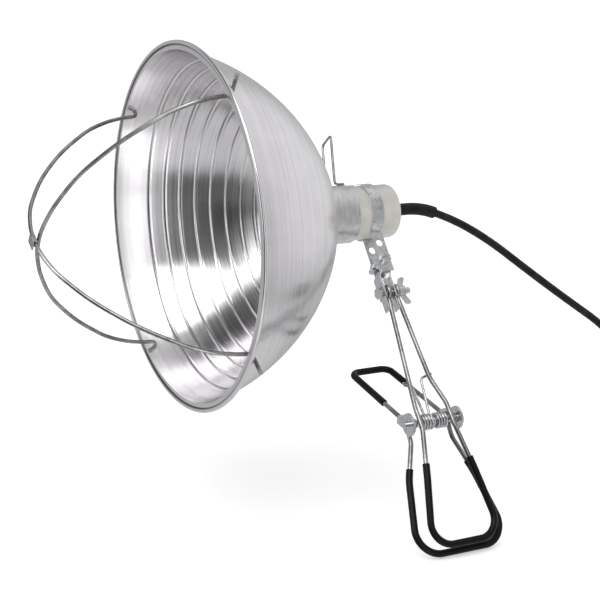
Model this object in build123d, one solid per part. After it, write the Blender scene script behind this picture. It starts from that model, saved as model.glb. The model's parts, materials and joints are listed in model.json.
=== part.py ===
from build123d import *
import math
import os

# Heat lamp fixture: spun reflector, wire guard, porcelain lamp holder, hang loop, cord and spring clamp.
# Millimetres. The lamp axis runs along X, the reflector opens towards -X and +Z is up.
# Shapes are drawn with the rim plane at X = 0 and the lamp axis at Y = Z = 0, then moved once so that the
# origin lies at the middle of the hang loop's top bar.

# Reflector
rim_r = 133.35          # 10.5 in across the rolled bead
bead_r = 1.6
mouth_r = 126.5
bowl_depth = 110.6
bowl_rear_r = 22.0
bowl_mid = (57.5, 99.9)  # a point of the outer arc: station and radius
bowl_t = 1.2
rear_hole_r = 16.0

# Guard
wire_r = 1.5
guard_reach = 110.6
guard_angles = (36.0, 125.0)
guard_hole_x = 6.0
guard_end = 139.5         # radius that the wire's bent ends reach

# Lamp holder
collar_r = 21.9
collar_t = 1.0
collar_end = 135.0
holder_r = 20.5
holder_start = 112.2
holder_split = 150.7
holder_end = 172.5
shell_bore_r = 14.6
shell_r = 13.9          # outside of the E26 screw shell
shell_t = 0.5
shell_end = 142.0
terminal_y = 9.0
terminal_r = 1.5

# Strap and swivel
clock = 36.0            # the clamp hangs this far round from straight down, towards -Y
strap_x = holder_split
strap_w = 9.5
strap_t = 1.3
leg_y = 6.5
bolt_drop = 42.7        # lamp axis to the strap bolt
leg_end = 10.0
bolt_r = 2.4
pin_gap = 0.06
bolt2_z = -24.8         # below the strap bolt, along the stem
pivot_z = -128.5

# Clamp wires
arm_r = 1.75
sleeve_r = 2.75
axle_r = 2.5

# Cord
cord_r = 3.1
exit_x = holder_end
relief_r = 4.7
floor_z = -225.0
coil_mid_r = 37.0
coil_w = 18.6
coil_h = 12.4
coil_centre = (459.0, -57.0)

c_sin = math.sin(math.radians(clock))
c_cos = math.cos(math.radians(clock))

# The stem frame: X along the lamp axis, Z up the stem, origin on the strap bolt.
stem = Plane(
    origin=(strap_x, -bolt_drop * c_sin, -bolt_drop * c_cos),
    x_dir=(1, 0, 0),
    z_dir=(0, c_sin, c_cos),
)

# The hang loop's top bar, which the whole lamp hangs from.
loop_top = 64.0
loop_base_x = 129.0
loop_lean = 9.4
loop_half = 8.0
loop_r = 1.0
hang_point = Vector(loop_base_x + loop_lean, loop_top * c_sin, loop_top * c_cos)


def ring_x(x0, x1, r_out, r_in):
    body = Plane.YZ.offset(x0) * Circle(r_out)
    hole = Plane.YZ.offset(x0) * Circle(r_in)
    return extrude(body, x1 - x0, dir=(1, 0, 0)) - extrude(hole, x1 - x0, dir=(1, 0, 0))


def rod(p, q, r):
    p, q = Vector(p), Vector(q)
    face = Plane(origin=p, z_dir=q - p) * Circle(r)
    return extrude(face, (q - p).length, dir=(q - p).normalized())


def lerp(p, q, f):
    return tuple(a + (b - a) * f for a, b in zip(p, q))


def gentle_radii(points, share=0.45):
    """The largest tangent arc that the two runs at each corner allow."""
    radii = []
    for a, b, c in zip(points, points[1:], points[2:]):
        u = Vector(b) - Vector(a)
        v = Vector(c) - Vector(b)
        turn = math.radians(u.get_angle(v))
        radii.append(share * min(u.length, v.length) / math.tan(turn / 2))
    return radii


def wire_path(points, radii=None):
    return FilletPolyline(*points, radius=radii or gentle_radii(points))


def bent_wire(points, r, r_in=0.0, radii=None):
    path = wire_path(points, radii)
    section = Plane(origin=path @ 0, z_dir=path % 0) * Circle(r)
    if r_in:
        section -= Plane(origin=path @ 0, z_dir=path % 0) * Circle(r_in)
    return sweep(section, path=path)


def hex_prism(x0, x1, flats, hole=0.0):
    prism = extrude(Plane.YZ.offset(x0) * RegularPolygon(flats / 2, 6, major_radius=False), x1 - x0, dir=(1, 0, 0))
    if hole:
        prism -= ring_x(x0 - 1, x1 + 1, hole, 0.001)
        prism -= rod((x0 - 1, 0, 0), (x1 + 1, 0, 0), hole)
    return prism


def make_reflector():
    outer = ThreePointArc((0.6, mouth_r + 0.9), bowl_mid, (bowl_depth, bowl_rear_r))
    inner = ThreePointArc(
        (bowl_depth - bowl_t, bowl_rear_r - 0.8),
        (bowl_mid[0] - 0.85, bowl_mid[1] - 0.85),
        (-0.6, mouth_r),
    )
    rear = Polyline(
        outer @ 1,
        (bowl_depth, rear_hole_r),
        (bowl_depth - bowl_t, rear_hole_r),
        inner @ 0,
    )
    lip = Polyline(
        inner @ 1,
        (-0.6, rim_r - bead_r),
        (0.6, rim_r - bead_r),
        outer @ 0,
    )
    bead = Pos(0, rim_r - bead_r) * Circle(bead_r)
    bowl = revolve(make_face(outer + rear + inner + lip) + bead, Axis.X)
    for angle in guard_angles:
        c, s = math.cos(math.radians(angle)), math.sin(math.radians(angle))
        for side in (-1, 1):
            foot = (guard_hole_x, side * 118 * c, side * 118 * s)
            tip = (guard_hole_x, side * 131 * c, side * 131 * s)
            bowl -= rod(foot, tip, wire_r + 0.2)
    return bowl


def make_collar():
    tube = ring_x(bowl_depth, collar_end, collar_r, collar_r - collar_t)
    flange = ring_x(bowl_depth, bowl_depth + collar_t, collar_r, rear_hole_r)
    slot = Pos(collar_end - 5, 0, -collar_r) * Box(10.2, 7, 6)
    return tube + flange - slot


def make_collar_clip():
    """Spring tongue in the collar's slot, pressing on the holder."""
    tongue = ring_x(collar_end - 9.5, collar_end + 3, holder_r + 1.2, holder_r)
    window = Pos(collar_end - 4, 0, -holder_r) * Box(16, 6.4, 8)
    return tongue & window


def make_holder():
    front = ring_x(holder_start, holder_split, holder_r, shell_bore_r)
    floor = ring_x(shell_end + 2, holder_split, shell_bore_r, 4.0)
    screw_holes = [rod((shell_end, y, 0), (holder_split + 1, y, 0), 1.6) for y in (-9, 9)]
    return front + floor - screw_holes


def make_holder_cap():
    cap = Plane.YZ.offset(holder_split) * Circle(holder_r)
    cap = extrude(cap, holder_end - holder_split, dir=(1, 0, 0))
    cap = fillet(cap.edges().sort_by(Axis.X)[-1], 3.5)
    cavity = rod((holder_split, 0, 0), (holder_end - 7, 0, 0), 15.5)
    passage = rod((holder_end - 8, 0, 0), (holder_end + 1, 0, 0), cord_r + 0.02)
    screw_holes = [rod((holder_end - 8, y, 0), (holder_end + 1, y, 0), 1.8) for y in (-11, 11)]
    return cap - cavity - passage - screw_holes


def make_cap_screws():
    screws = []
    for y in (-11, 11):
        shank = rod((holder_end - 12, y, 0), (holder_end, y, 0), 1.75)
        head = rod((holder_end, y, 0), (holder_end + 1.6, y, 0), 3.0)
        slot = Pos(holder_end + 1.6, y, 0) * Box(1.4, 7, 0.8)
        screws.append(shank + head - slot)
    return Compound(children=screws)


def make_screw_shell():
    """E26 shell: a thin tube rolled with a round thread of 3.63 mm pitch, drawn as rings."""
    pitch = 3.63
    tube = ring_x(holder_start + 3, shell_end, shell_r, shell_r - shell_t)
    bottom = ring_x(shell_end - shell_t, shell_end, shell_r, 5.5)
    shell = tube + bottom
    for n in range(6):
        ring = Pos(0, shell_r + 0.05) * Circle(0.5)
        shell += Pos(holder_start + 5 + n * pitch, 0, 0) * revolve(ring, Axis.X)
    return shell


def make_insulator():
    disc = ring_x(shell_end, shell_end + 2, shell_bore_r - 0.2, 2.2)
    for y in (-terminal_y, terminal_y):
        disc -= rod((shell_end, y, 0), (shell_end + 2, y, 0), terminal_r + 0.1)
    return disc


def make_centre_contact():
    button = rod((shell_end - shell_t + 0.05, 0, 0), (shell_end, 0, 0), 4.8)
    return button + rod((shell_end, 0, 0), (holder_split + 3, 0, 0), 2.1)


def make_terminal_screws():
    screws = []
    for y in (-terminal_y, terminal_y):
        shank = rod((shell_end, y, 0), (holder_split + 3, y, 0), terminal_r)
        head = rod((holder_split + 3, y, 0), (holder_split + 5, y, 0), 3.2)
        slot = Pos(holder_split + 5, y, 0) * Box(1.6, 0.9, 7)
        screws.append(shank + head - slot)
    return Compound(children=screws)


def make_sleeve():
    """Rubber sleeve that follows the cord's first bend."""
    radii = gentle_radii(cord_points)
    first, corner, after = cord_points[:3]
    tangent = 0.45 * (Vector(corner) - Vector(first)).length
    end = lerp(corner, after, (tangent + 0.3) / (Vector(after) - Vector(corner)).length)
    return bent_wire([first, corner, end], relief_r, cord_r + 0.02, radii=radii[:1])


def guard_bow(angle, apex):
    half = [
        (guard_hole_x, guard_end),
        (guard_hole_x, 121.2),
        (-3.0, 120.8),
        (-18.0, 117.5),
        (-37.0, 109.0),
        (-66.0, 86.0),
        (-90.0, 58.0),
        (apex + 5.0, 30.0),
        (apex, 9.0),
    ]
    other = [(x, -rho) for x, rho in reversed(half)]
    c, s = math.cos(math.radians(angle)), math.sin(math.radians(angle))
    points = [(x, rho * c, rho * s) for x, rho in half + other]
    return bent_wire(points, wire_r)


def make_guard_clip():
    """Bent plate that holds the two bows together where they cross."""
    front = -guard_reach - wire_r
    plate = Pos(front - 0.5, 0, 0) * Box(1.0, 9, 9)
    lips = [Pos(front + 1.2, 0, z) * Box(2.6, 7, 1.0) for z in (-wire_r - 0.6, wire_r + 0.6)]
    return Rot(guard_angles[0], 0, 0) * (plate + lips)


def make_hang_loop():
    lift = loop_r + collar_r + 0.02
    foot_rho = math.sqrt(lift**2 - loop_half**2)
    side = [
        (loop_base_x + 7.0, foot_rho),
        (loop_base_x - 0.8, foot_rho),
        (loop_base_x + loop_lean, loop_top),
    ]
    points = [(x, -loop_half, rho) for x, rho in side] + [(x, loop_half, rho) for x, rho in reversed(side)]
    points = [(x, t * c_cos + rho * c_sin, rho * c_cos - t * c_sin) for x, t, rho in points]
    return bent_wire(points, loop_r, radii=[2.5, 3.0, 3.0, 2.5])


def make_strap():
    outer = Circle(holder_r + 0.05 + strap_t)
    band = outer + [
        Pos(side * leg_y, -(bolt_drop + leg_end) / 2 - 5) * Rectangle(strap_t, bolt_drop + leg_end - 10)
        for side in (-1, 1)
    ]
    band -= Circle(holder_r + 0.05)
    band -= Pos(0, -bolt_drop / 2 - 8) * Rectangle(2 * leg_y - strap_t, bolt_drop)
    body = extrude(Plane.YZ * band, strap_w / 2, both=True)
    tab = Pos(-strap_w / 2 - 3, 0, holder_r + strap_t / 2) * Box(8, 9, strap_t)
    body += tab
    for z, hole_r in ((-29.5, 2.8), (-bolt_drop, bolt_r + 0.02)):
        body -= rod((0, -10, z), (0, 10, z), hole_r)
    return Pos(0, 0, bolt_drop) * body


def make_strap_bolt():
    y_head = -leg_y - strap_t / 2
    shank = rod((0, y_head, 0), (0, 17, 0), bolt_r)
    head = rod((0, y_head - 2.4, 0), (0, y_head, 0), 4.3)
    slot = Pos(0, y_head - 2.4, 0) * Box(9, 1.8, 1.1)
    return shank + head - slot


def make_strap_nut():
    nut = Rot(0, 0, 90) * hex_prism(0, 4, 8.0, bolt_r + 0.02)
    return Pos(0, leg_y + strap_t / 2 + 0.02, 0) * nut


def make_swivel_plate(side):
    """Stamped plate that curls round the strap bolt and joggles out beside an arm."""
    joggle = -4.1 if side < 0 else -2.3
    foot = side * 3.9 + joggle
    outline = Polyline(
        (side * 3.9, 0),
        (side * 3.9, -6.8),
        (foot, -12.6),
        (foot, -40.0),
        (foot - side * 1.2, -40.0),
        (foot - side * 1.2, -12.2),
        (side * 2.7, -6.4),
        (side * 2.7, 0),
        close=True,
    )
    plate = extrude(Plane.XZ * make_face(outline), 5.4, both=True)
    narrow = [Pos(0, y, -38) * Box(40, 5, 16) for y in (-6.0, 6.0)]
    plate -= narrow
    knuckle = rod((0, -5.4, 0), (0, 5.4, 0), 3.9) - rod((0, -6, 0), (0, 6, 0), bolt_r + pin_gap)
    body = plate - rod((0, -6, 0), (0, 6, 0), bolt_r + pin_gap) + knuckle
    keep = Pos(0, 2.8 * side, -2) * Box(20, 5.2, 12)
    lower = Pos(0, 0, -28) * Box(40, 20, 40)
    body = (body & keep) + (body & lower)
    return body - rod((-30, 0, bolt2_z), (30, 0, bolt2_z), bolt_r + 0.02)


def make_swivel_bolt():
    shank = rod((-8.05, 0, 0), (16, 0, 0), bolt_r)
    return Pos(0, 0, bolt2_z) * (shank + hex_prism(-11.8, -8.05, 8.0))


def make_swivel_spacer():
    return Pos(0, 0, bolt2_z) * ring_x(1.62, 2.5, 4.6, bolt_r + 0.02)


def make_wing_nut():
    hub = ring_x(6.5, 11.5, 4.2, bolt_r + 0.05)
    wing = Plane.XZ * make_face(
        Polyline((6.9, 2.8), (10.9, 2.8), (14.6, 9.6), (13.2, 11.0), (10.0, 10.4), close=True)
    )
    wing = extrude(wing, 0.9, both=True)
    wings = wing + Rot(180, 0, 0) * wing
    return Pos(0, 0, bolt2_z) * (hub + (wings - rod((0, 0, 0), (20, 0, 0), 3.0)))


# Clamp wires, in the stem frame. The arms end in eyes on the swivel bolt and run down into the narrow jaw.
eye_x = (-3.2, 4.35)
eye_r = bolt_r + arm_r + pin_gap
jaw_a_bottom = pivot_z - 89.5
jaw_b_bottom = pivot_z - 93.0
handle_top = (64.0, pivot_z + 66.5)   # offset away from the camera side, height


def arm_points():
    left = [
        (eye_x[0], 0, bolt2_z - eye_r),
        (-9.0, 0.0, pivot_z + 33.0),
        (-13.4, -4.0, pivot_z + 11.0),
        (-13.6, -5.0, pivot_z - 6.0),
        (-20.5, -1.5, pivot_z - 42.0),
        (-29.5, 5.6, jaw_a_bottom),
    ]
    right = [(-x, y, z) for x, y, z in reversed(left)]
    right[-1] = (eye_x[1], 0, bolt2_z - eye_r)
    return left + right


arm_radii = [40, 25, 25, 60, 15, 15, 60, 25, 25, 40]


def make_arm_wire():
    wire = bent_wire(arm_points(), arm_r, radii=arm_radii)
    for x in eye_x:
        ring = Pos(0, eye_r) * Circle(arm_r)
        wire += Pos(x, 0, bolt2_z) * revolve(ring, Axis.X)
    return wire


def make_arm_jaw_sleeve():
    points = arm_points()
    start = lerp(points[4], points[3], 0.3)
    end = lerp(points[-5], points[-4], 0.3)
    return bent_wire([start] + points[4:-4] + [end], sleeve_r, arm_r + 0.02, radii=arm_radii[3:7])


def lever_half():
    """From the middle of the handle's end bar, down one leg, to the middle of the jaw's end."""
    y, z = handle_top
    return [
        (0, y, z),
        (-16.5, y, z),
        (-17.3, 8.0, pivot_z + 4.5),
        (-17.5, 9.6, pivot_z - 11.0),
        (-27.5, 12.0, pivot_z - 38.0),
        (-39.0, 13.2, jaw_b_bottom),
        (0, 13.2, jaw_b_bottom),
    ]


lever_radii = [7, 12, 14, 60, 17]


def make_lever_wire():
    half = bent_wire(lever_half(), arm_r, radii=lever_radii)
    return half + mirror(half, Plane.YZ)


def make_lever_jaw_sleeve():
    points = lever_half()
    half = [lerp(points[4], points[3], 0.3)] + points[4:6]
    other = [(-x, y, z) for x, y, z in reversed(half)]
    radii = lever_radii[3:] + lever_radii[:2:-1]
    return bent_wire(half + other, sleeve_r, arm_r + 0.02, radii=radii)


def make_handle_sleeve():
    """The dip reaches further down one leg than the other."""
    corner, foot = lever_half()[1:3]
    left = [lerp(corner, foot, 0.62), corner]
    right = [(-x, y, z) for x, y, z in (corner, lerp(corner, foot, 0.34))]
    return bent_wire(left + right, sleeve_r, arm_r + 0.02, radii=lever_radii[:1] * 2)


def make_axle():
    return Pos(0, 0, pivot_z) * rod((-25, 0, 0), (25, 0, 0), axle_r)


plate_x = 19.7
plate_t = 1.4


def make_pivot_plate(side):
    """Disc on the axle with a tab that hooks over the lever's leg."""
    disc = ring_x(plate_x, plate_x + plate_t, 8.5, axle_r + pin_gap)
    y, z = handle_top
    tilt = -math.degrees(math.atan2(y - 8.0, z - pivot_z - 4.5))
    tab = Pos(plate_x + plate_t / 2, 3.0, 11.0) * Box(plate_t, 6.0, 8.0)
    lip = Pos(plate_x + plate_t / 2 - 2.3, 0.55, 13.0) * Box(plate_t + 4.6, 1.4, 4.0)
    body = disc + Rot(tilt, 0, 0) * (tab + lip)
    if side < 0:
        body = mirror(body, Plane.YZ)
    return Pos(0, 0, pivot_z) * body


def make_axle_nuts():
    nuts = []
    for side in (-1, 1):
        nut = hex_prism(15.4, 18.6, 7.0, axle_r + 0.02)
        if side < 0:
            nut = mirror(nut, Plane.YZ)
        nuts.append(Pos(0, 0, pivot_z) * nut)
    return Compound(children=nuts)


spring_r = 5.0
spring_wire_r = 1.0


def spring_bank(x0, turns, pitch, leg):
    """One bank of coils round the axle, wound along X, with its leg up to an arm."""
    points_per_turn = 12
    total = turns * points_per_turn
    points = []
    for n in range(total + 1):
        angle = math.radians(90 + 360 * n / points_per_turn)
        points.append((x0 + pitch * n / points_per_turn, spring_r * math.cos(angle), spring_r * math.sin(angle)))
    coil = Spline(*points)
    wire = sweep(Plane(origin=coil @ 0, z_dir=coil % 0) * Circle(spring_wire_r), path=coil, is_frenet=True)
    legs = bent_wire(leg, spring_wire_r, radii=[3.0])
    return wire + legs


def make_torsion_spring(side):
    leg = {
        -1: [(-1.8, 5.0, 0.3), (-6.0, 3.4, 31.0), (-12.5, 3.2, 32.5)],
        1: [(1.4, 5.0, 0.3), (3.6, 3.4, 34.5), (13.5, 3.2, 37.0)],
    }[side]
    x0 = -10.6 if side < 0 else 1.4
    return Pos(0, 0, pivot_z) * spring_bank(x0, 4, 2.25, leg)


def make_spring_bush():
    return Pos(0, 0, pivot_z) * ring_x(-11.5, 11.5, 3.7, axle_r + 0.02)


# Cord, in the lamp frame: hand-set corners from the holder to the coil on the floor.
cord_points = [
    (exit_x, 0, 0),
    (201.0, 0, 0),
    (233.0, -0.5, -12.0),
    (266.0, -1.5, -31.0),
    (300.0, -3.0, -56.0),
    (340.0, -5.0, -84.5),
    (384.0, -7.5, -114.5),
    (416.0, -9.0, -150.0),
    (432.0, -11.0, -188.0),
    (449.0, -9.0, -212.5),
    (474.0, -6.0, floor_z + cord_r),
    (496.0, -20.0, floor_z + cord_r),
    (505.0, -43.0, floor_z + cord_r),
    (502.0, -64.0, floor_z + cord_r),
]
tail_points = [
    (469.5, -98.6, floor_z + coil_h - cord_r - 0.1),
    (451.5, -103.0, floor_z + coil_h - cord_r - 0.1),
    (435.5, -107.5, floor_z + cord_r + 3.6),
    (421.5, -110.5, floor_z + cord_r + 2.2),
]


def make_coil():
    section = Pos(coil_mid_r, floor_z + coil_h / 2) * RectangleRounded(coil_w, coil_h, 3.0)
    ring = revolve(Plane.XZ * section, Axis.Z)
    return Pos(coil_centre[0], coil_centre[1], 0) * ring


def make_tie():
    """Open clip over the coil's turns."""
    outer = Box(9, coil_w + 2.4, coil_h + 1.2, align=(Align.CENTER, Align.CENTER, Align.MIN))
    inner = Box(10, coil_w, coil_h, align=(Align.CENTER, Align.CENTER, Align.MIN))
    tie = Pos(0, coil_mid_r, floor_z) * (outer - inner)
    return Pos(coil_centre[0], coil_centre[1], 0) * Rot(0, 0, 200) * tie - make_coil()


plug_axis = (-1.0, -0.18)


def make_plug():
    x, y, z = tail_points[-1]
    heading = math.degrees(math.atan2(plug_axis[1], plug_axis[0]))
    body = extrude(Plane.YZ * RectangleRounded(13, 10, 3), 6, dir=(1, 0, 0))
    body += extrude(Plane.YZ.offset(6) * RectangleRounded(24, 15, 4), 20, dir=(1, 0, 0), taper=2)
    blades = []
    for side in (-1, 1):
        blades.append(Pos(26 + 8, side * 6.35, 0) * Box(16, 1.5, 6.4))
    turn = Pos(x, y, z + 2.4) * Rot(0, 0, heading)
    return turn * body, turn * Compound(children=blades)


def main():
    os.makedirs("parts", exist_ok=True)
    at_stem = stem.location
    run = bent_wire(cord_points, cord_r)
    tail = bent_wire(tail_points, cord_r)
    coil = make_coil()
    plug, blades = make_plug()
    print("cord radii", [round(r, 1) for r in gentle_radii(cord_points)])
    print("tail radii", [round(r, 1) for r in gentle_radii(tail_points)])
    for name, tube, points in (("run", run, cord_points), ("tail", tail, tail_points)):
        length = wire_path(points).length
        print(name, "length", round(length, 1), "volume ratio", round(tube.volume / (math.pi * cord_r**2 * length), 4))
    in_lamp = {
        "reflector_bowl": make_reflector(),
        "neck_collar": make_collar(),
        "collar_clip": make_collar_clip(),
        "guard_bow_outer": guard_bow(guard_angles[0], -guard_reach),
        "guard_bow_inner": guard_bow(guard_angles[1], -guard_reach + 2 * wire_r + 0.05),
        "guard_clip": make_guard_clip(),
        "hang_loop": make_hang_loop(),
        "lamp_holder": make_holder(),
        "holder_cap": make_holder_cap(),
        "cap_screws": make_cap_screws(),
        "screw_shell": make_screw_shell(),
        "contact_insulator": make_insulator(),
        "centre_contact": make_centre_contact(),
        "terminal_screws": make_terminal_screws(),
        "cord_sleeve": make_sleeve(),
        "cord_run": run - coil,
        "cord_tail": tail - coil - plug,
        "cord_coil": coil,
        "cord_tie": make_tie(),
        "plug_body": plug,
        "plug_blades": blades,
    }
    on_stem = {
        "strap": make_strap(),
        "strap_bolt": make_strap_bolt(),
        "strap_nut": make_strap_nut(),
        "swivel_plate_left": make_swivel_plate(-1),
        "swivel_plate_right": make_swivel_plate(1),
        "swivel_bolt": make_swivel_bolt(),
        "swivel_spacer": make_swivel_spacer(),
        "wing_nut": make_wing_nut(),
        "arm_wire": make_arm_wire(),
        "arm_jaw_sleeve": make_arm_jaw_sleeve(),
        "lever_wire": make_lever_wire(),
        "lever_jaw_sleeve": make_lever_jaw_sleeve(),
        "lever_handle_sleeve": make_handle_sleeve(),
        "pivot_axle": make_axle(),
        "pivot_plate_left": make_pivot_plate(-1),
        "pivot_plate_right": make_pivot_plate(1),
        "axle_nuts": make_axle_nuts(),
        "torsion_spring_left": make_torsion_spring(-1),
        "torsion_spring_right": make_torsion_spring(1),
        "spring_bush": make_spring_bush(),
    }
    shift = Pos(-hang_point.X, -hang_point.Y, -hang_point.Z)
    for name, shape in in_lamp.items():
        export_step(shift * shape, f"parts/{name}.step")
    for name, shape in on_stem.items():
        export_step(shift * at_stem * shape, f"parts/{name}.step")


main()
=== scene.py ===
import bmesh
import bpy
import json
import math
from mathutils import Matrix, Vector, noise


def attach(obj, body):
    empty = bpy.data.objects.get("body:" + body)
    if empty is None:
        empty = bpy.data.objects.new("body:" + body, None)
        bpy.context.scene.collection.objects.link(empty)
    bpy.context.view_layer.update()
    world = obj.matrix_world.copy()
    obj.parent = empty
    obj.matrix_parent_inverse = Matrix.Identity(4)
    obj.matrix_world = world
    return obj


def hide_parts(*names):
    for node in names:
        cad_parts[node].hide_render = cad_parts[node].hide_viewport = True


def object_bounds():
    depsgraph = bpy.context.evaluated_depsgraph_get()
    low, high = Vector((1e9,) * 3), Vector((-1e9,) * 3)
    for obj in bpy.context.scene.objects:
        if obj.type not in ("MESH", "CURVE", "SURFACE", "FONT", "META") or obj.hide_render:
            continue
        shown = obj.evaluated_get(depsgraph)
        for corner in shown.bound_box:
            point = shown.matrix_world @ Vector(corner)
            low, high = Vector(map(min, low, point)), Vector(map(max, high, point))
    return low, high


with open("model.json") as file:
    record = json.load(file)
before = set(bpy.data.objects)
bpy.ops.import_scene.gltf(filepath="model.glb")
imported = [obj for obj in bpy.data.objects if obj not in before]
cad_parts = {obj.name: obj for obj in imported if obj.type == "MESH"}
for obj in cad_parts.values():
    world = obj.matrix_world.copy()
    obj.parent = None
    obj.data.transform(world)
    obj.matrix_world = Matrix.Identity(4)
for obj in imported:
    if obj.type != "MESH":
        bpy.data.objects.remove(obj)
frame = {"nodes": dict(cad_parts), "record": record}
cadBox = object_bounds()
scene = bpy.context.scene
scene.view_settings.view_transform = "Standard"
lampAxis = Vector((-0.1384, -0.037618, -0.051777))  # middle of the rim, the lamp looks along -X
print("frame loaded")

cameraSetup = {
    "lookAt": (-0.0692, -0.0864, -0.1022),
    "azimuth": -28.0,  # degrees, 0 looks along +Y
    "elevation": 12.3,
    "distance": 1.10,
    "lens": 92.04,
}


def makeCamera(setup):
    turn, rise = math.radians(setup["azimuth"]), math.radians(setup["elevation"])
    towards = Vector((math.sin(turn) * math.cos(rise), -math.cos(turn) * math.cos(rise), math.sin(rise)))
    data = bpy.data.cameras.new("camera")
    data.lens = setup["lens"]
    data.sensor_width = 36.0
    data.clip_start = 0.05
    camera = bpy.data.objects.new("camera", data)
    scene.collection.objects.link(camera)
    camera.location = Vector(setup["lookAt"]) + towards * setup["distance"]
    camera.rotation_euler = towards.to_track_quat("Z", "Y").to_euler()
    scene.camera = camera


makeCamera(cameraSetup)


class Wire:  # one shader socket, with the arithmetic that the finishes use
    def __init__(self, finish, socket):
        self.finish = finish
        self.socket = socket

    def maths(self, operation, first, second):
        return self.finish.node("ShaderNodeMath", {"operation": operation}, {0: first, 1: second})

    def __add__(self, other):
        return self.maths("ADD", self, other)

    def __sub__(self, other):
        return self.maths("SUBTRACT", self, other)

    def __rsub__(self, other):
        return self.maths("SUBTRACT", other, self)

    def __mul__(self, other):
        return self.maths("MULTIPLY", self, other)

    def __pow__(self, other):
        return self.maths("POWER", self, other)

    __radd__ = __add__
    __rmul__ = __mul__


class Finish:  # a material, or the world, and the nodes in it
    def __init__(self, name, owner=None):
        self.owner = owner or bpy.data.materials.new(name)
        self.owner.use_nodes = True
        self.tree = self.owner.node_tree
        self.tree.nodes.clear()

    def node(self, kind, settings=None, sockets=None, out=0):
        made = self.tree.nodes.new(kind)
        for key, value in (settings or {}).items():
            if key == "stops":
                ramp = made.color_ramp.elements
                while len(ramp) < len(value):
                    ramp.new(0.5)
                for stop, (place, colour) in zip(ramp, value):
                    stop.position, stop.color = place, colour
            else:
                setattr(made, key, value)
        for key, value in (sockets or {}).items():
            if isinstance(value, Wire):
                self.tree.links.new(value.socket, made.inputs[key])
            else:
                made.inputs[key].default_value = value
        return Wire(self, made.outputs[out]) if made.outputs else None

    def place(self):
        return self.node("ShaderNodeTexCoord", out="Object")

    def apart(self, vector):  # a vector's three numbers, each on its own wire
        split = self.node("ShaderNodeSeparateXYZ", None, {"Vector": vector}).socket.node
        return [Wire(self, split.outputs[name]) for name in "XYZ"]

    def join(self, x, y, z):
        return self.node("ShaderNodeCombineXYZ", None, {"X": x, "Y": y, "Z": z})

    def stretched(self, where, scale):
        return self.node("ShaderNodeMapping", None, {"Vector": where, "Scale": scale})

    def noise(self, where, scale, detail=3.0, rough=0.55):
        return self.node("ShaderNodeTexNoise", None,
                         {"Vector": where, "Scale": scale, "Detail": detail, "Roughness": rough})

    def fade(self, value, low, high):
        return self.node("ShaderNodeMapRange", {"interpolation_type": "SMOOTHSTEP"},
                         {"Value": value, "From Min": low, "From Max": high})

    def mix(self, factor, first, second):
        first, second = ((*tone, 1) if isinstance(tone, tuple) else tone for tone in (first, second))
        return self.node("ShaderNodeMix", {"data_type": "RGBA"}, {0: factor, 6: first, 7: second}, out=2)

    def bump(self, height, strength, distance):
        return self.node("ShaderNodeBump", None, {"Height": height, "Strength": strength, "Distance": distance})

    def surface(self, sockets):
        shader = self.node("ShaderNodeBsdfPrincipled", None, sockets)
        self.node("ShaderNodeOutputMaterial", None, {"Surface": shader})
        return self.owner


# the cord, from the holder's cap to the plug: run, put-away coil and tail, in the lamp's own axes
cordRoute = {
    "diameter": 0.0062,
    "length": 1.68,
    "run": [
        (0.1725, 0, 0), (0.201, 0, 0), (0.233, -0.0005, -0.012), (0.266, -0.0015, -0.031),
        (0.300, -0.003, -0.056), (0.340, -0.005, -0.0845), (0.384, -0.0075, -0.1145),
        (0.416, -0.009, -0.150), (0.432, -0.011, -0.188), (0.449, -0.009, -0.2125),
        (0.474, -0.006, -0.2219), (0.496, -0.020, -0.2219), (0.505, -0.043, -0.2219),
        (0.502, -0.064, -0.2219),
    ],
    "coilCentre": (0.459, -0.057),
    "tracks": [(0.0432, 0.0031), (0.037, 0.0031), (0.0308, 0.0031),
               (0.0308, 0.0093), (0.037, 0.0093), (0.0432, 0.0093)],  # radius and height of each turn
    "floor": -0.225,
    "startAngle": -9.25,
    "endAngle": -1875.96,
    "pointsPerTurn": 16,
    "jog": 80.0,  # degrees over which all turns step across together
    "tuckIn": 0.0092,  # how far a climbing turn leans inside its neighbours
    "tail": [(0.4695, -0.0986, -0.2158), (0.4515, -0.103, -0.2158),
             (0.4355, -0.1075, -0.2183), (0.4215, -0.1105, -0.2197)],
}


def coilPoints(route):
    step = 360.0 / route["pointsPerTurn"]
    pull = 0.25 * (3 + math.cos(math.radians(step)))  # the spline runs this much inside its points
    tracks = route["tracks"]
    points = []
    turned = step
    while turned < route["startAngle"] - route["endAngle"] - 0.5 * step:
        lap, rest = divmod(turned, 360.0)
        lap = int(lap)
        share = max(0.0, (rest - (360.0 - route["jog"])) / route["jog"])
        share = share * share * (3 - 2 * share)
        here, after = tracks[lap], tracks[min(lap + 1, len(tracks) - 1)]
        radius = here[0] + (after[0] - here[0]) * share
        height = here[1] + (after[1] - here[1]) * share
        if after[1] > here[1]:
            radius -= route["tuckIn"] * share * (1 - share)
        angle = math.radians(route["startAngle"] - turned)
        points.append((route["coilCentre"][0] + radius / pull * math.cos(angle),
                       route["coilCentre"][1] + radius / pull * math.sin(angle),
                       route["floor"] + height))
        turned += step
    return points


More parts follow.
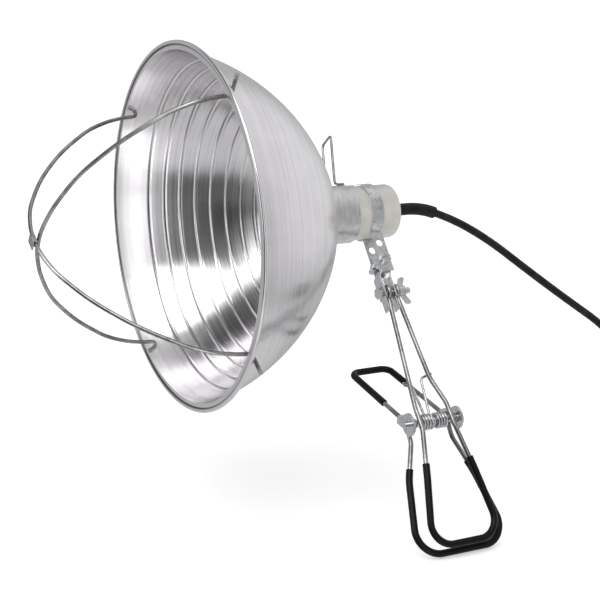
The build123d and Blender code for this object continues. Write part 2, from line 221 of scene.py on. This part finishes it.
def makeCord(route):
    points = route["run"] + coilPoints(route) + route["tail"]
    curve = bpy.data.curves.new("cordJacket", "CURVE")
    curve.dimensions = "3D"
    curve.bevel_depth = 1.0
    curve.bevel_resolution = 5
    curve.resolution_u = 10
    curve.use_fill_caps = True
    spline = curve.splines.new("NURBS")
    spline.points.add(len(points) - 1)
    for knot, point in zip(spline.points, points):
        knot.co = (*(Vector(point) + lampAxis), 1)
        knot.radius = route["diameter"] / 2  # a metre of bevel scaled down to the jacket
    spline.order_u = 3
    spline.use_endpoint_u = True
    cord = bpy.data.objects.new("cordJacket", curve)
    scene.collection.objects.link(cord)
    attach(cord, "head")
    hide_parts("cord_run", "cord_coil", "cord_tail")
    return cord


cordJacket = makeCord(cordRoute)
print("camera and cord placed")

studio = {
    "base": 0.47,
    "strength": 1.0,
    # azimuth from-to, elevation from-to, softness, brightness; 0 looks to -Y and -90 to -X
    "cards": [
        (-200, 200, 62, 95, 14, 0.7),
        (-92, -16, 34, 80, 3, 2.4),
        (-160, -97, 34, 66, 6, 0.07),
        (-106, -87, -4, 36, 2, 2.0),
        (-200, 200, -95, -34, 6, 0.66),
        (-86, -25, -30, 31, 3, 0.11),
        (-88, -58, -9, 9, 6, 0.015),
        (-23, -10, -60, 75, 2, 2.2),
        (-9, 30, -30, 45, 6, 0.42),
        (60, 130, -20, 60, 14, 0.8),
    ],
}


def makeStudio(setup):
    world = bpy.data.worlds.new("studio")
    scene.world = world
    air = Finish("studio", world)
    x, y, z = air.apart(air.node("ShaderNodeTexCoord", out="Generated"))
    azimuth = x.maths("ARCTAN2", x, 0 - y) * math.degrees(1)
    elevation = air.node("ShaderNodeMath", {"operation": "ARCSINE"}, {0: z}) * math.degrees(1)
    light = 0 * z + setup["base"]
    for west, east, low, high, soft, level in setup["cards"]:
        across = (air.fade(azimuth, west - soft, west + soft)
                  * (1 - air.fade(azimuth, east - soft, east + soft)))
        upright = (across * air.fade(elevation, low - soft, low + soft)
                   * (1 - air.fade(elevation, high - soft, high + soft)))
        light = light + (level - light) * upright
    shine = air.node("ShaderNodeBackground", None, {"Color": light, "Strength": setup["strength"]})
    air.node("ShaderNodeOutputWorld", None, {"Surface": shine})


makeStudio(studio)

floorSetup = {"half": 25.0, "gap": 0.0002, "tone": (0.93, 0.93, 0.93), "lift": 0.42}


def makeFloor(setup):
    build = bmesh.new()
    half = setup["half"]
    low = min(cadBox[0][2], cadBox[1][2]) - setup["gap"]
    corners = ((-half, -half), (half, -half), (half, half), (-half, half))
    build.faces.new([build.verts.new((x, y, low)) for x, y in corners])
    mesh = bpy.data.meshes.new("studioFloor")
    build.to_mesh(mesh)
    build.free()
    ground = bpy.data.objects.new("studioFloor", mesh)
    scene.collection.objects.link(ground)
    paper = Finish("paleFloor")
    grain = paper.noise(paper.place(), 9.0)
    tone = setup["tone"]
    mesh.materials.append(paper.surface({
        "Base Color": paper.mix(grain, tuple(0.985 * c for c in tone), tone),
        "Roughness": 0.9, "Specular IOR Level": 0.1,
        "Emission Color": (1, 1, 1, 1), "Emission Strength": setup["lift"]}))
    ground.visible_glossy = False  # the metal mirrors the studio's walls, not the paper


makeFloor(floorSetup)
print("studio ready")


# the darker and lighter tone of each finish, and how rough it is at least and how much more in places
looks = {
    "spunAluminium": {"low": (0.74, 0.722, 0.745), "high": (0.88, 0.862, 0.882), "rough": (0.14, 0.10)},
    "brushedCollar": {"low": (0.62, 0.62, 0.64), "high": (0.88, 0.88, 0.89), "rough": (0.24, 0.16)},
    "brightWire": {"low": (0.24, 0.238, 0.235), "high": (0.50, 0.497, 0.49), "rough": (0.12, 0.14)},
    "zincPlate": {"low": (0.46, 0.475, 0.50), "high": (0.78, 0.795, 0.81), "rough": (0.13, 0.15)},
    "springSteel": {"low": (0.42, 0.43, 0.45), "high": (0.74, 0.75, 0.77), "rough": (0.12, 0.14)},
    "brass": {"low": (0.48, 0.32, 0.15), "high": (0.78, 0.56, 0.26), "rough": (0.2, 0.25)},
    "glazedPorcelain": {"low": (0.51, 0.495, 0.46), "high": (0.60, 0.585, 0.55), "rough": (0.16, 0.16)},
    "fibreBoard": {"low": (0.30, 0.13, 0.07), "high": (0.46, 0.25, 0.14), "rough": (0.55, 0.2)},
    "blackVinyl": {"low": (0.003, 0.003, 0.003), "high": (0.009, 0.009, 0.0095), "rough": (0.16, 0.14)},
    "cordRubber": {"low": (0.007, 0.007, 0.008), "high": (0.022, 0.022, 0.023), "rough": (0.34, 0.2)},
    "tiePlastic": {"low": (0.012, 0.012, 0.013), "high": (0.028, 0.028, 0.030), "rough": (0.34, 0.2)},
}


def roughness(look, pattern):
    least, more = look["rough"]
    return least + more * pattern


def spunAluminium(look):  # lathe lines run round the object's own Z axis
    metal = Finish("spunAluminium")
    where = metal.place()
    x, y, z = metal.apart(where)
    radius = (x * x + y * y) ** 0.5
    angle = x.maths("ARCTAN2", y, x)
    across = metal.join(radius, z, angle * 0.0004)
    coarse = metal.noise(across, 420.0, 4.0, 0.6)
    fine = metal.noise(across, 2100.0, 2.0, 0.7)
    wedge = metal.noise(metal.join(angle, radius * 6.0, z * 6.0), 3.2, 3.0, 0.6)
    cloud = metal.noise(where, 22.0, 4.0, 0.6)
    tone = metal.fade(coarse * 0.5 + wedge * 0.3 + cloud * 0.2, 0.36, 0.64)
    # painted shade: a dark ring mixed into the base colour on the flange just inside the rolled bead, standing
    # in for the shadow in the groove behind the bead
    paintedCreaseShade = metal.fade(radius, 0.1292, 0.1299) * (1 - metal.fade(radius, 0.1304, 0.1312))
    return metal.surface({
        "Base Color": metal.mix(paintedCreaseShade * 0.85, metal.mix(tone, look["low"], look["high"]), (0.10, 0.10, 0.10)),
        "Metallic": 1.0,
        "Roughness": roughness(look, coarse) + 0.06 * wedge,
        "Anisotropic": 0.72, "Anisotropic Rotation": 0.25,
        "Normal": metal.bump(coarse * 0.6 + fine * 0.4, 0.05, 0.0004)})


def brushedCollar(look):
    metal = Finish("brushedCollar")
    where = metal.place()
    lines = metal.noise(metal.stretched(where, (900, 120, 120)), 1.0, 4.0)
    cloud = metal.noise(where, 90.0)
    return metal.surface({
        "Base Color": metal.mix(metal.fade(lines * 0.6 + cloud * 0.4, 0.35, 0.65), look["low"], look["high"]),
        "Metallic": 1.0, "Roughness": roughness(look, lines),
        "Normal": metal.bump(lines, 0.10, 0.0004)})


def brightWire(look):
    metal = Finish("brightWire")
    where = metal.place()
    cloud = metal.noise(where, 70.0, 4.0)
    pits = metal.noise(where, 900.0, 3.0, 0.7)
    return metal.surface({
        "Base Color": metal.mix(metal.fade(cloud * 0.7 + pits * 0.3, 0.38, 0.62), look["low"], look["high"]),
        "Metallic": 1.0, "Roughness": roughness(look, cloud),
        "Normal": metal.bump(pits, 0.05, 0.0003)})


def zincPlate(look):
    metal = Finish("zincPlate")
    where = metal.place()
    cloud = metal.noise(where, 160.0, 4.0, 0.6)
    grain = metal.noise(where, 1500.0, 3.0, 0.7)
    flakes = metal.node("ShaderNodeTexVoronoi", None, {"Vector": where, "Scale": 1300.0})
    tone = metal.fade(cloud * 0.75 + flakes * 0.25, 0.25, 0.60)
    return metal.surface({
        "Base Color": metal.mix(tone, look["low"], look["high"]),
        "Metallic": 1.0, "Roughness": roughness(look, cloud),
        "Normal": metal.bump(grain * 0.5 + flakes * 0.5, 0.10, 0.0003)})


def springSteel(look):
    metal = Finish("springSteel")
    where = metal.place()
    cloud = metal.noise(where, 220.0, 4.0)
    return metal.surface({
        "Base Color": metal.mix(metal.fade(cloud, 0.35, 0.65), look["low"], look["high"]),
        "Metallic": 1.0, "Roughness": roughness(look, cloud),
        "Normal": metal.bump(metal.noise(where, 1800.0), 0.05, 0.0003)})


def brassFinish(look, name):
    metal = Finish(name)
    where = metal.place()
    cloud = metal.noise(where, 180.0, 4.0)
    return metal.surface({
        "Base Color": metal.mix(metal.fade(cloud, 0.35, 0.7), look["high"], look["low"]),
        "Metallic": 1.0, "Roughness": roughness(look, cloud),
        "Normal": metal.bump(metal.noise(where, 1500.0), 0.05, 0.0003)})


def glazedPorcelain(look):
    glaze = Finish("glazedPorcelain")
    where = glaze.place()
    cloud = glaze.noise(where, 60.0, 4.0)
    speck = glaze.fade(glaze.noise(where, 850.0, 2.0, 0.6), 0.66, 0.74)
    ripple = glaze.noise(where, 240.0, 2.0)
    body = glaze.mix(glaze.fade(cloud, 0.35, 0.7), look["high"], look["low"])
    return glaze.surface({
        "Base Color": glaze.mix(speck * 0.35, body, (0.46, 0.43, 0.38)),
        "Roughness": roughness(look, cloud), "Specular IOR Level": 0.5,
        "Coat Weight": 0.5, "Coat Roughness": 0.08,
        "Normal": glaze.bump(ripple, 0.10, 0.0005)})


def fibreBoard(look):
    board = Finish("fibreBoard")
    where = board.place()
    strands = board.noise(board.stretched(where, (900, 300, 1500)), 1.0, 4.0)
    return board.surface({
        "Base Color": board.mix(strands, look["low"], look["high"]),
        "Roughness": roughness(look, strands),
        "Normal": board.bump(strands, 0.2, 0.0003)})


def blackVinyl(look):
    skin = Finish("blackVinyl")
    where = skin.place()
    sag = skin.noise(where, 95.0, 3.0)
    orange = skin.noise(where, 520.0, 2.0)
    return skin.surface({
        "Base Color": skin.mix(sag, look["low"], look["high"]),
        "Roughness": roughness(look, sag), "Specular IOR Level": 0.16,
        "Normal": skin.bump(sag * 0.7 + orange * 0.3, 0.20, 0.0006)})


def cordRubber(look):
    skin = Finish("cordRubber")
    where = skin.place()
    dust = skin.noise(where, 130.0, 4.0)
    grain = skin.noise(where, 2200.0, 2.0)
    return skin.surface({
        "Base Color": skin.mix(skin.fade(dust, 0.4, 0.75), look["low"], look["high"]),
        "Roughness": roughness(look, dust), "Specular IOR Level": 0.2,
        "Normal": skin.bump(grain, 0.08, 0.0002)})


def tiePlastic(look):
    skin = Finish("tiePlastic")
    where = skin.place()
    cloud = skin.noise(where, 300.0)
    return skin.surface({
        "Base Color": skin.mix(cloud, look["low"], look["high"]),
        "Roughness": roughness(look, cloud), "Normal": skin.bump(cloud, 0.08, 0.0003)})


finishes = {
    "reflector_aluminium": spunAluminium(looks["spunAluminium"]),
    "collar_aluminium": brushedCollar(looks["brushedCollar"]),
    "bright_wire": brightWire(looks["brightWire"]),
    "porcelain": glazedPorcelain(looks["glazedPorcelain"]),
    "brass": brassFinish(looks["brass"], "shellBrass"),
    "fibre": fibreBoard(looks["fibreBoard"]),
    "zinc_plate": zincPlate(looks["zincPlate"]),
    "spring_steel": springSteel(looks["springSteel"]),
    "cord_rubber": cordRubber(looks["cordRubber"]),
    "tie_plastic": tiePlastic(looks["tiePlastic"]),
    "blade_brass": brassFinish(looks["brass"], "bladeBrass"),
    "black_vinyl": blackVinyl(looks["blackVinyl"]),
}
nodeSlot = {}
for name, node in frame["nodes"].items():
    nodeSlot[name] = node.data.materials[0].name.split(".")[0]
    node.data.materials[0] = finishes[nodeSlot[name]]
cordJacket.data.materials.append(finishes["cord_rubber"])
print("finishes ready", len(finishes))

reflector = {
    "rimRadius": 133.35, "beadRadius": 1.6, "mouthRadius": 126.5,  # millimetres
    "depth": 110.6, "rearRadius": 22.0, "holeRadius": 16.0, "wall": 1.2,
    "outerMiddle": (57.5, 99.9), "innerMiddle": (56.65, 99.05),
    "firstRing": 24.0, "ringStep": 12.4, "ringCount": 9,
    "ringDepth": 0.36, "ringWidth": 0.45, "crown": 0.03, "outsideShare": 0.12,
    "segments": 288, "sharpAngle": 48,  # degrees
}


def arcThrough(first, middle, last, steps):  # points (station, radius, distance along the arc, angle)
    (ax, ay), (bx, by), (cx, cy) = first, middle, last
    bend = 2 * (ax * (by - cy) + bx * (cy - ay) + cx * (ay - by))
    a2, b2, c2 = ax * ax + ay * ay, bx * bx + by * by, cx * cx + cy * cy
    ox = (a2 * (by - cy) + b2 * (cy - ay) + c2 * (ay - by)) / bend
    oy = (a2 * (cx - bx) + b2 * (ax - cx) + c2 * (bx - ax)) / bend
    size = math.hypot(ax - ox, ay - oy)
    start, end = math.atan2(ay - oy, ax - ox), math.atan2(cy - oy, cx - ox)
    points = []
    for n in range(steps + 1):
        angle = start + (end - start) * n / steps
        points.append((ox + size * math.cos(angle), oy + size * math.sin(angle),
                       abs(angle - start) * size, angle))
    return points


def ringRelief(along, spec):  # how far the wall stands proud at this distance from the rim
    place = (along - spec["firstRing"]) / spec["ringStep"]
    if place < -0.5 or place > spec["ringCount"] - 0.5:
        return 0.0
    off = (place - round(place)) * spec["ringStep"]
    groove = -spec["ringDepth"] * math.exp(-(off / spec["ringWidth"]) ** 2)
    step = 0.5 * spec["ringDepth"] * math.exp(-((off - 1.3) / 0.8) ** 2)
    between = 0 <= place <= spec["ringCount"] - 1
    return groove + step + (spec["crown"] * math.sin(math.pi * (place % 1.0)) if between else 0.0)


def relieved(arc, share, spec):  # the arc with its rings pressed in, station and radius only
    points = []
    for x, rho, along, angle in arc:
        lift = share * ringRelief(along, spec)
        points.append((x - lift * math.cos(angle), rho - lift * math.sin(angle)))
    return points


def makeReflector(spec):
    rim, bead = spec["rimRadius"] - spec["beadRadius"], spec["beadRadius"]
    half, thick = spec["wall"] / 2, spec["wall"]
    innerArc = arcThrough((-half, spec["mouthRadius"]), spec["innerMiddle"],
                          (spec["depth"] - thick, spec["rearRadius"] - 0.8), 340)
    outerArc = arcThrough((half, spec["mouthRadius"] + 0.9), spec["outerMiddle"],
                          (spec["depth"], spec["rearRadius"]), 150)
    profile = relieved(reversed(innerArc), 1.0, spec)
    profile += [(-half - 0.05, spec["mouthRadius"] + 1.2), (-half, spec["mouthRadius"] + 2.4),
                (-half, rim - bead - 0.75), (-half + 0.5, rim - bead - 0.2)]  # crease before the rolled bead
    opening = math.asin(0.1 / bead)
    for n in range(21):
        turn = math.pi + opening + (2 * math.pi - 2 * opening - 0.3) * n / 20
        profile.append((bead * math.sin(turn), rim + bead * math.cos(turn)))
    profile += relieved(outerArc, spec["outsideShare"], spec)
    back, hole = spec["depth"], spec["holeRadius"]
    profile += [(back, hole + 0.3), (back - 0.3, hole), (back - thick + 0.3, hole), (back - thick, hole + 0.3)]
    build = bmesh.new()
    loops = []
    for x, rho in profile:
        loop = []
        for n in range(spec["segments"]):
            turn = 2 * math.pi * n / spec["segments"]
            loop.append(build.verts.new((rho * math.cos(turn) / 1000, rho * math.sin(turn) / 1000, x / 1000)))
        loops.append(loop)
    for k, loop in enumerate(loops):
        after = loops[(k + 1) % len(loops)]
        for n in range(len(loop)):
            m = (n + 1) % len(loop)
            build.faces.new((loop[n], after[n], after[m], loop[m]))
    bmesh.ops.recalc_face_normals(build, faces=build.faces)
    mesh = bpy.data.meshes.new("spunReflector")
    build.to_mesh(mesh)
    build.free()
    mesh.shade_smooth()
    mesh.set_sharp_from_angle(angle=math.radians(spec["sharpAngle"]))
    mesh.materials.append(finishes["reflector_aluminium"])
    bowl = bpy.data.objects.new("spunReflector", mesh)
    scene.collection.objects.link(bowl)
    bowl.location = lampAxis
    bowl.rotation_euler = (0, math.pi / 2, 0)
    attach(bowl, "head")
    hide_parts("reflector_bowl")


makeReflector(reflector)
print("reflector spun")


edgeWork = {
    "flatAngle": 0.6, "sharpAngle": 34, "bevelAngle": 38,  # degrees
    "bevelSteps": 2,
    "lumpsPerMetre": 80.0,
}


def refined(node, pieceName, bevel, uneven):
    # a copy of a frame part with welded corners, rounded edges and a slightly uneven skin
    source = frame["nodes"][node].data
    index, points, faces, order = {}, [], [], []
    for corner in source.vertices:
        key = tuple(round(c, 7) for c in corner.co)
        if key not in index:
            index[key] = len(points)
            points.append(corner.co.copy())
        order.append(index[key])
    for face in source.polygons:
        loop = [order[v] for v in face.vertices]
        if len(set(loop)) == len(loop):
            faces.append(loop)
    mesh = bpy.data.meshes.new(pieceName)
    mesh.from_pydata(points, [], faces)
    mesh.validate()
    build = bmesh.new()
    build.from_mesh(mesh)
    if bevel:
        bmesh.ops.dissolve_limit(build, angle_limit=math.radians(edgeWork["flatAngle"]),
                                 verts=build.verts, edges=build.edges)
    if uneven:
        build.normal_update()
        for corner in build.verts:
            depth = 0.5 + 0.5 * noise.noise(corner.co * edgeWork["lumpsPerMetre"])
            corner.co -= corner.normal * (uneven * max(0.0, min(1.0, depth)))
    build.to_mesh(mesh)
    build.free()
    mesh.shade_smooth()
    mesh.set_sharp_from_angle(angle=math.radians(edgeWork["sharpAngle"]))
    mesh.materials.append(finishes[nodeSlot[node]])
    piece = bpy.data.objects.new(pieceName, mesh)
    scene.collection.objects.link(piece)
    if bevel:
        rounding = piece.modifiers.new("edges", "BEVEL")
        rounding.width = bevel
        rounding.segments = edgeWork["bevelSteps"]
        rounding.limit_method = "ANGLE"
        rounding.angle_limit = math.radians(edgeWork["bevelAngle"])
    for body, nodes in frame["record"]["behaviour"]["bodies"].items():
        if node in nodes:
            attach(piece, body)
    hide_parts(node)
    return piece


# name of each rounded piece, its frame part, edge radius and unevenness in metres
roundedParts = [
    ("strapBand", "strap", 0.00022, 0.0), ("strapBolt", "strap_bolt", 0.00018, 0.0),
    ("strapNut", "strap_nut", 0.00025, 0.0), ("swivelPlateLeft", "swivel_plate_left", 0.00022, 0.0),
    ("swivelPlateRight", "swivel_plate_right", 0.00022, 0.0), ("swivelBolt", "swivel_bolt", 0.0002, 0.0),
    ("wingNut", "wing_nut", 0.0003, 0.0), ("pivotPlateLeft", "pivot_plate_left", 0.00022, 0.0),
    ("pivotPlateRight", "pivot_plate_right", 0.00022, 0.0), ("axleNuts", "axle_nuts", 0.00025, 0.0),
    ("pivotAxle", "pivot_axle", 0.0002, 0.0), ("guardClip", "guard_clip", 0.0002, 0.0),
    ("collarClip", "collar_clip", 0.00015, 0.0), ("porcelainHolder", "lamp_holder", 0.0003, 0.00012),
    ("porcelainCap", "holder_cap", 0.0003, 0.00012), ("capScrews", "cap_screws", 0.00015, 0.0),
    ("armJawSkin", "arm_jaw_sleeve", 0.0, 0.00028), ("leverJawSkin", "lever_jaw_sleeve", 0.0, 0.00028),
    ("handleSkin", "lever_handle_sleeve", 0.0, 0.00028), ("cordRelief", "cord_sleeve", 0.00015, 0.0),
    ("coilTie", "cord_tie", 0.0003, 0.0), ("plugShell", "plug_body", 0.0006, 0.0),
    ("plugBlades", "plug_blades", 0.0002, 0.0), ("springBush", "spring_bush", 0.0002, 0.0),
]
for pieceName, node, bevel, uneven in roundedParts:
    refined(node, pieceName, bevel, uneven)

bpy.context.view_layer.update()
